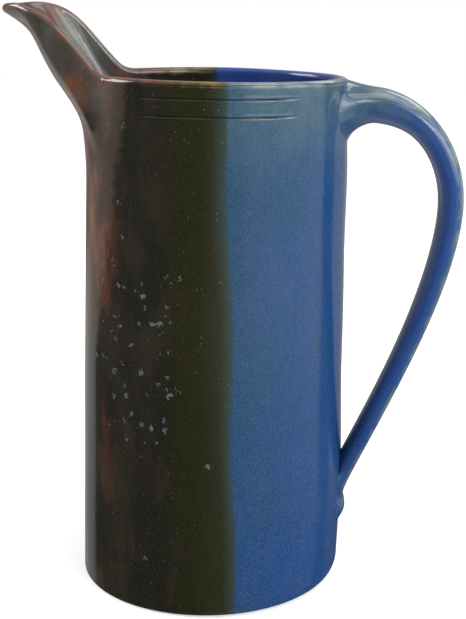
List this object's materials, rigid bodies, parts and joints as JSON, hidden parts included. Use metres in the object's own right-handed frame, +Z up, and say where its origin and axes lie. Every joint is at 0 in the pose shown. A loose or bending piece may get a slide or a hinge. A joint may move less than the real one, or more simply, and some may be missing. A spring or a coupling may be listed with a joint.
{
  "type": "ceramic pitcher",
  "caption": "Tall cylindrical stoneware pitcher with a high beak spout cut over the rim and a pulled strap handle, glazed dark brown on the spout side and blue on the handle side.",
  "frame": {"origin": "centre of the flat base, on the surface that the pitcher stands on", "axes": "+Z up along the thrown body, +X towards the handle, -X towards the spout, +Y to the left of someone who holds the handle and pours away from them"},
  "size_m": [0.2245, 0.1324, 0.2851],
  "materials": {
    "body_glaze": "glossy dark brown glaze on the spout side and mottled blue glaze on the handle side, with a sharp vertical overlap",
    "spout_glaze": "glossy dark brown glaze breaking to rust red at the lip",
    "handle_glaze": "glossy blue glaze breaking to pale grey-green on the ridges"
  },
  "bodies": {
    "root": {"thrown_body": "body_glaze", "spout_beak": "spout_glaze", "handle_strap": "handle_glaze", "handle_upper_joint": "handle_glaze", "handle_lower_joint": "handle_glaze"}
  },
  "joints": []
}
